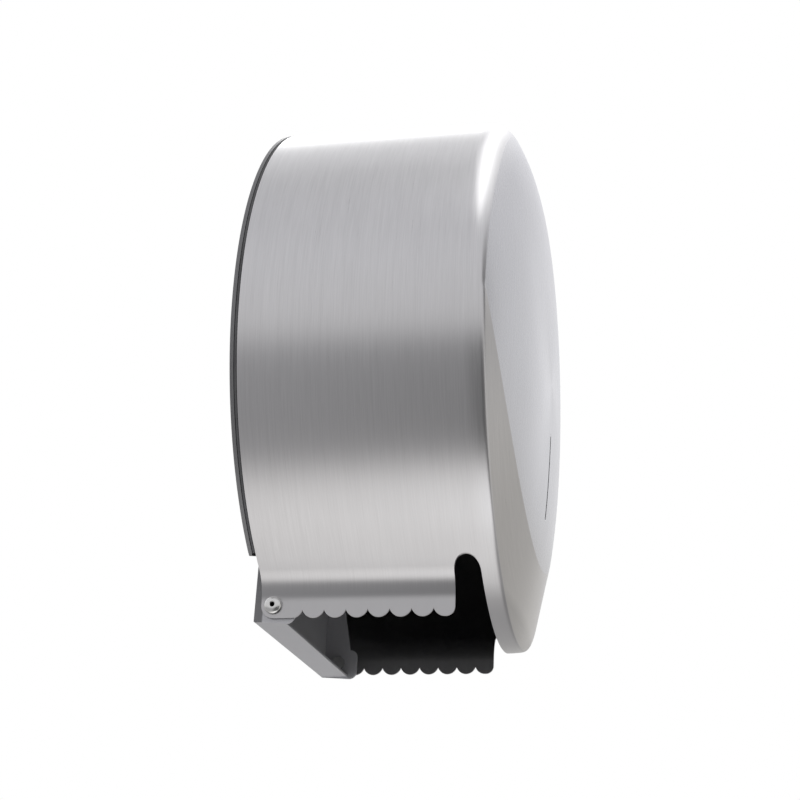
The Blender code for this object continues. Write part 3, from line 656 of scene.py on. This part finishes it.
def cap_column(angle):
    """Outer face of the front at one angle, as (radius, depth), from the rim to near the centre."""
    start, reach = rim_size(angle)
    lean = EDGE_LEAN * (1 - smoothstep((degrees(asin(sin(angle))) + 15) / 55))
    end_r = DRUM_R - reach
    crease_r = min(smile_radius(angle), end_r - 0.5 * MM)
    crease_depth = dome_at(crease_r, angle)
    if smile_radius(angle) < end_r - 0.5 * MM:
        slope = (crease_depth - FACET_CORNER_DEPTH) / (DRUM_R - crease_r)
        end_depth = FACET_CORNER_DEPTH + slope * reach
    else:
        slope = (dome_at(end_r - 0.1 * MM, angle) - dome_at(end_r + 0.1 * MM, angle)) / (0.2 * MM)
        end_depth = dome_at(end_r, angle)
    corner_depth = end_depth - slope * reach
    run = start - EDGE_LEAN_START
    column = [(DRUM_R - lean * (i / 4) ** 2, start - run + run * i / 4) for i in (1, 2, 3)]
    corner_lean = lean * (1 + 2 * (corner_depth - start) / run)
    for i in range(ROUND_STEPS + 1):
        t = i / ROUND_STEPS
        depth = (1 - t) ** 2 * start + 2 * t * (1 - t) * corner_depth + t ** 2 * end_depth
        inset = (1 - t) ** 2 * lean + 2 * t * (1 - t) * corner_lean + t ** 2 * reach
        column.append((DRUM_R - inset, depth))
    soft = min(CREASE_HALF, (end_r - crease_r) * 0.4)
    for share in (0.33, 0.66, 1.0):
        radius = end_r + (crease_r + soft - end_r) * share
        part_way = (end_r - radius) / (end_r - crease_r)
        column.append((radius, end_depth + (crease_depth - end_depth) * part_way))
    inner = crease_r - soft
    for i in (1, 2, 3):
        column.append((crease_r + soft - 2 * soft * i / 4, None))
    column.append((inner, dome_at(inner, angle)))
    outer_point, inner_point = column[-5], column[-1]
    for i in (1, 2, 3):
        t = i / 4
        depth = ((1 - t) ** 2 * outer_point[1] + 2 * t * (1 - t) * crease_depth
                 + t ** 2 * inner_point[1])
        column[-5 + i] = (column[-5 + i][0], depth)
    for i in range(1, DOME_STEPS):
        radius = inner * (1 - (i / DOME_STEPS) ** 1.3)
        column.append((radius, dome_at(radius, angle)))
    return column


def make_cover_shell():
    """The whole cover as one sheet: drum, flanges and pressed front; its openings are cut after it is made."""
    mesh = bpy.data.meshes.new("cover_shell")
    shape = bmesh.new()
    wall_depths = [DRUM_REAR, 4.5 * MM] + [(12 + 11 * i) * MM for i in range(8)] + [STRIP_END]
    skirt_rear = SKIRT_REAR - GAP
    skirt_depths = [skirt_rear]
    angles = []
    angle = 180 - CIRCLE_END
    count = round((CIRCLE_END - angle) / COLUMN_STEP)
    for i in range(count + 1):
        angles.append(angle + (CIRCLE_END - angle) * i / count)
    lower_count = round((360 + 180 - CIRCLE_END - CIRCLE_END) / COLUMN_STEP)
    lower = [CIRCLE_END + (540 - 2 * CIRCLE_END) * i / lower_count for i in range(1, lower_count)]

    def circle_point(degree, depth, radius=DRUM_R):
        return shape.verts.new((radius * cos(radians(degree)), -depth, radius * sin(radians(degree))))

    def cap_points(degree):
        start = cap_column(radians(degree))
        return [circle_point(degree, depth, radius) for radius, depth in start]

    def fill(first, second):
        for j in range(len(first) - 1):
            shape.faces.new((first[j], second[j], second[j + 1], first[j + 1]))

    upper_columns = []
    for degree in angles:
        column = [circle_point(degree, depth) for depth in wall_depths + skirt_depths]
        upper_columns.append(column + cap_points(degree))
    lower_columns = [[circle_point(degree, skirt_rear)] + cap_points(degree) for degree in lower]
    for first, second in zip(upper_columns, upper_columns[1:]):
        fill(first, second)
    cap_start = len(wall_depths)
    ring = [column[cap_start:] for column in upper_columns] + lower_columns
    joints = [upper_columns[-1][cap_start:]] + lower_columns + [upper_columns[0][cap_start:]]
    for first, second in zip(joints, joints[1:]):
        fill(first, second)
    centre = shape.verts.new((0, -dome_depth(0, 0), 0))
    for i, column in enumerate(ring):
        shape.faces.new((column[-1], ring[(i + 1) % len(ring)][-1], centre))

    def flange_path(side):
        """The bend and the upright flange below the drum's circle, as (x, z)."""
        path = arc((BEND_X, BEND_Z), BEND_R, CIRCLE_END - 180, 0, 20)[1:] + [(-FLANGE_X, FLANGE_BOTTOM)]
        return [(-side * x, z) for x, z in path]

    for side, start in ((-1, upper_columns[-1]), (1, upper_columns[0])):
        last = start[:cap_start]
        for x, z in flange_path(side):
            column = [shape.verts.new((x, -depth, z)) for depth in wall_depths]
            fill(last, column)
            last = column
    bmesh.ops.recalc_face_normals(shape, faces=shape.faces)
    top = max(shape.faces, key=lambda f: f.calc_center_median().z)
    if top.normal.z < 0:
        bmesh.ops.reverse_faces(shape, faces=shape.faces)
    shape.to_mesh(mesh)
    shape.free()
    shell = linked("cover_shell", mesh)
    sheet = shell.modifiers.new("sheet", "SOLIDIFY")
    sheet.thickness = STEEL
    sheet.offset = -1
    sheet.use_even_offset = True
    for material in (DRUM_STEEL, FRONT_STEEL, FACET_STEEL_PAINTED_SHADE, INSIDE_STEEL_PAINTED_SHADE):
        mesh.materials.append(material)
    # the inner faces take the last material, whose dark colour is painted shade
    sheet.material_offset = 3
    apply_modifiers(shell)
    return shell


def finish_front(shell):
    """The dome takes the upright grain; the facet below its crease takes the drum's grain, in a darker, warmer
    copy that is painted shade.
    """
    for face in shell.data.polygons:
        x, y, z = face.center
        radius, angle = sqrt(x ** 2 + z ** 2), atan2(z, x)
        inside_rim = radius < DRUM_R - rim_size(angle)[1] and -y > FACET_CORNER_DEPTH
        if face.material_index == 0 and inside_rim:
            face.material_index = 1 if radius < smile_radius(angle) else 2


def tear_edge_outline():
    """What is cut away below both flanges and in front of them, as (depth, z) points."""
    half = TOOTH_PITCH / 2
    tooth_r = (half ** 2 + TOOTH_HEIGHT ** 2) / (2 * TOOTH_HEIGHT)
    tooth_z = FLANGE_BOTTOM + tooth_r
    reach = degrees(acos((tooth_r - TOOTH_HEIGHT) / tooth_r))
    below = FLANGE_BOTTOM - 15 * MM
    corner_z = FLANGE_BOTTOM + REAR_CORNER_R
    outline = [(-4 * MM, below), (-4 * MM, corner_z)]
    outline += arc((DRUM_REAR + REAR_CORNER_R, corner_z), REAR_CORNER_R, 180, 270, 12)
    outline += arc((FIRST_VALLEY - half, tooth_z), tooth_r, -90, -90 + reach, 8)
    for tooth in range(VALLEYS - 1):
        centre = FIRST_VALLEY + half + tooth * TOOTH_PITCH
        outline += arc((centre, tooth_z), tooth_r, -90 - reach, -90 + reach, 16)[1:]
    last = FIRST_VALLEY + (VALLEYS - 1) * TOOTH_PITCH + half
    outline += arc((last, tooth_z), tooth_r, -90 - reach, -90, 8)[1:]
    front_z = FLANGE_BOTTOM + FRONT_CORNER_R
    outline += arc((FLANGE_FRONT - FRONT_CORNER_R, front_z), FRONT_CORNER_R, -90, 0, 8)
    outline += arc((FLANGE_FRONT + NOTCH_R, NOTCH_TOP - NOTCH_R), NOTCH_R, 180, 0, 20)
    outline += [(SKIRT_REAR, below)]
    return outline


def circle(radius, steps, centre=(0, 0)):
    return arc(centre, radius, 0, 360 - 360 / steps, steps - 1)


def slot_outline(width, top, bottom, steps=12):
    half = width / 2
    return arc((0, top - half), half, 0, 180, steps) + arc((0, bottom + half), half, 180, 360, steps)


cover = make_cover_shell()
cut(cover, prism(tear_edge_outline(), -85 * MM, 85 * MM, side_point))
cut(cover, prism(circle(HINGE_HOLE_R, 32, (-HINGE.y, HINGE.z)), -80 * MM, 80 * MM, side_point))
cut(cover, prism(circle(LOCK_HOLE_R, 48, (0, LOCK_DEPTH)), 125 * MM, 145 * MM, plan_point))
cut(cover, prism(slot_outline(SLOT_WIDTH, SLOT_TOP, SLOT_BOTTOM), 110 * MM, 135 * MM, front_point))
finish_front(cover)
soften_edges(cover, 0.15 * MM)
shade(cover, 28)
dress(cover, "cover", None, "brushed_cover", "cover_wall", "front_cap")


# ---------------------------------------------------------------- back plate, seal and hinge rivets

def lip_start(extra=0.0):
    """Angle at which the disc's edge meets the box part, in degrees, on the +X side."""
    return degrees(atan2(-sqrt(DISC_R ** 2 - LIP_END_X ** 2), LIP_END_X)) + extra


def plate_outline():
    """Front view of the plate as (x, z): the disc, and the narrower box part below it."""
    start = lip_start()
    side = BOX_X - LIP_STEP
    bottom = BOX_BOTTOM + LIP_STEP
    shoulder = DISC_R * sin(radians(start)) + 4 * MM
    outline = arc((0, 0), DISC_R, start, 180 - start, 240)
    return outline + [(-side, shoulder), (-side, bottom), (side, bottom), (side, shoulder)]


def lip_outline(inner, outer):
    """An arc-shaped band round the disc that stops short of the box part, as (x, z)."""
    start = lip_start(0.8)
    return arc((0, 0), outer, start, 180 - start, 240) + arc((0, 0), inner, 180 - start, start, 240)


def ear_outline():
    """Side ear as (depth, z): a narrow upright with a rounded foot that carries the hinge rivet."""
    corner = 4 * MM
    outline = [(LIP_STEP, EAR_TOP), (LIP_STEP, BOX_BOTTOM)]
    outline += arc((EAR_DEPTH - corner, EAR_BOTTOM + corner), corner, -90, 0, 12)
    outline += arc((EAR_DEPTH - corner, FOOT_TOP - corner), corner, 0, 90, 12)
    return outline + arc((EAR_NECK - corner, EAR_TOP - corner), corner, 0, 90, 12)


def make_back_plate():
    plate = linked("plate", prism(plate_outline(), 0, PLATE, front_point))
    half = BOX_X - 2 * LIP_STEP
    sill = [(-half, 2 * LIP_STEP), (half, 2 * LIP_STEP), (half, SILL_DEPTH), (-half, SILL_DEPTH)]
    cut(plate, prism(lip_outline(LIP_INNER_R, DRUM_R), LIP_STEP, LIP_DEPTH, front_point), "UNION")
    cut(plate, prism(sill, BOX_BOTTOM, BOX_BOTTOM + EAR_SHEET, plan_point), "UNION")
    cut(plate, prism(ear_outline(), -BOX_X, -BOX_X + EAR_SHEET, side_point), "UNION")
    cut(plate, prism(ear_outline(), BOX_X - EAR_SHEET, BOX_X, side_point), "UNION")
    cut(plate, prism(circle(HINGE_HOLE_R, 32, (-HINGE.y, HINGE.z)), -80 * MM, 80 * MM, side_point))
    for place in ((x, z) for x in (-FIXING_X, FIXING_X) for z in (-FIXING_Z, FIXING_Z)):
        cut(plate, prism(circle(FIXING_HOLE_R, 40, place), -5 * MM, 10 * MM, front_point))
    for i in range(3):
        angle = radians(90 + 120 * i)
        spot = (BASE_RIVET_CIRCLE * cos(angle), BASE_RIVET_CIRCLE * sin(angle))
        cut(plate, prism(circle(BASE_RIVET_HOLE_R, 32, spot), -5 * MM, 10 * MM, front_point))
    soften_edges(plate, 0.12 * MM)
    shade(plate)
    return dress(plate, "wall_unit", PLATE_STEEL, "plate_steel", "back_plate")


def lathe(name, profile, to_world, steps=64):
    """A turned solid: the (radius, height) profile is closed on the axis at both ends."""
    mesh = bpy.data.meshes.new(name)
    shape = bmesh.new()
    start = shape.verts.new(to_world(0, 0, profile[0][1]))
    end = shape.verts.new(to_world(0, 0, profile[-1][1]))
    rings = []
    for i in range(steps):
        turn = 2 * pi * i / steps
        rings.append([shape.verts.new(to_world(r * cos(turn), r * sin(turn), h))
                      for r, h in profile[1:-1]])
    for i, ring in enumerate(rings):
        after = rings[(i + 1) % steps]
        shape.faces.new((start, after[0], ring[0]))
        shape.faces.new((end, ring[-1], after[-1]))
        for j in range(len(ring) - 1):
            shape.faces.new((ring[j], after[j], after[j + 1], ring[j + 1]))
    bmesh.ops.recalc_face_normals(shape, faces=shape.faces)
    shape.to_mesh(mesh)
    shape.free()
    return linked(name, mesh)


def make_hinge_rivet(name, side):
    """A domed rivet with a deep centre hole, its head outside the flange and its tail inside the ear."""
    def to_world(u, v, height):
        return (side * height, HINGE.y + u, HINGE.z + v)

    ear_inner = BOX_X - EAR_SHEET
    bore_end = ear_inner - 0.4 * MM
    profile = [(0, bore_end), (RIVET_BORE_R, bore_end)]
    profile += [(RIVET_BORE_R, RIVET_TOP - 0.15 * MM), (RIVET_RIM_R, RIVET_TOP)]
    for i in range(1, RIVET_DOME_STEPS + 1):
        turn = radians(90 * i / RIVET_DOME_STEPS)
        radius = RIVET_RIM_R + (RIVET_HEAD_R - RIVET_RIM_R) * sin(turn)
        profile.append((radius, RIVET_TOP - RIVET_DOME * (1 - cos(turn))))
    profile += [(RIVET_HEAD_R, FLANGE_X + GAP), (RIVET_SHANK_R, FLANGE_X + GAP)]
    profile += [(RIVET_SHANK_R, ear_inner - GAP), (RIVET_TAIL_R, ear_inner - GAP)]
    profile += [(RIVET_TAIL_R, ear_inner - RIVET_TAIL_END), (0, ear_inner - RIVET_TAIL_END)]
    rivet = lathe(name, profile, to_world)
    shade(rivet, 40)
    cad_name = "hinge_rivet_left" if side < 0 else "hinge_rivet_right"
    dress(rivet, "wall_unit", RIVET_STEEL, "rivet_steel", cad_name)
    # faces inside the bore take the near-black material: painted shadow
    rivet.data.materials.append(BORE_PAINTED_SHADOW)
    for face in rivet.data.polygons:
        offset = Vector((0, face.center.y - HINGE.y, face.center.z - HINGE.z)).length
        if offset < RIVET_BORE_R + 0.02 * MM and ear_inner < abs(face.center.x) + 0.5 * MM:
            face.material_index = 1


make_back_plate()
seal = linked("seal", prism(lip_outline(*SEAL_R), *SEAL_DEPTH, front_point))
shade(seal)
dress(seal, "wall_unit", SEAL_RUBBER, "seal_rubber", "edge_seal")
make_hinge_rivet("rivet_near", -1)
make_hinge_rivet("rivet_far", 1)


# ---------------------------------------------------------------- pieces kept from the CAD

def smooth_sheet():
    """Geometry nodes that join a CAD mesh's loose faces and smooth it except at its edges."""
    tree = bpy.data.node_groups.new("smooth_cad", "GeometryNodeTree")
    tree.interface.new_socket("Geometry", in_out="INPUT", socket_type="NodeSocketGeometry")
    tree.interface.new_socket("Geometry", in_out="OUTPUT", socket_type="NodeSocketGeometry")
    add, link = tree.nodes.new, tree.links.new
    start, end = add("NodeGroupInput"), add("NodeGroupOutput")
    strip = add("GeometryNodeRemoveAttribute")
    strip.inputs["Name"].default_value = "custom_normal"
    merge = add("GeometryNodeMergeByDistance")
    merge.inputs["Distance"].default_value = 0.005 * MM
    faces = add("GeometryNodeSetShadeSmooth")
    edges = add("GeometryNodeSetShadeSmooth")
    edges.domain = "EDGE"
    turn = add("GeometryNodeInputMeshEdgeAngle")
    gentle = add("FunctionNodeCompare")
    gentle.data_type = "FLOAT"
    gentle.operation = "LESS_EQUAL"
    gentle.inputs["B"].default_value = radians(33)
    link(start.outputs[0], strip.inputs["Geometry"])
    link(strip.outputs[0], merge.inputs["Geometry"])
    link(merge.outputs[0], faces.inputs["Geometry"])
    link(faces.outputs[0], edges.inputs["Geometry"])
    link(turn.outputs["Unsigned Angle"], gentle.inputs["A"])
    link(gentle.outputs[0], edges.inputs["Shade Smooth"])
    link(edges.outputs[0], end.inputs[0])
    return tree


FINISHES = {
    "plate_steel": PLATE_STEEL, "zinc_steel": ZINC_STEEL, "rivet_steel": RIVET_STEEL,
    "seal_rubber": SEAL_RUBBER, "black_plastic": BLACK_PLASTIC, "white_nylon": WHITE_NYLON,
    "lock_chrome": LOCK_CHROME, "smoked_lens": SMOKED_LENS, "brushed_cover": DRUM_STEEL,
    "brushed_front": FRONT_STEEL,
}
SMOOTH_SHEET = smooth_sheet()
for row in frame["record"]["subparts"]:
    node = frame["nodes"][row["node"]]
    for slot in node.material_slots:
        slot.material = FINISHES[row["material_slot"]]
    smooth = node.modifiers.new("smooth", "NODES")
    smooth.node_group = SMOOTH_SHEET
    edge = node.modifiers.new("edge", "BEVEL")
    edge.width = 0.12 * MM
    edge.segments = 2
    edge.limit_method = "ANGLE"
    edge.angle_limit = radians(40)
    normals = node.modifiers.new("normals", "WEIGHTED_NORMAL")
    normals.keep_sharp = True
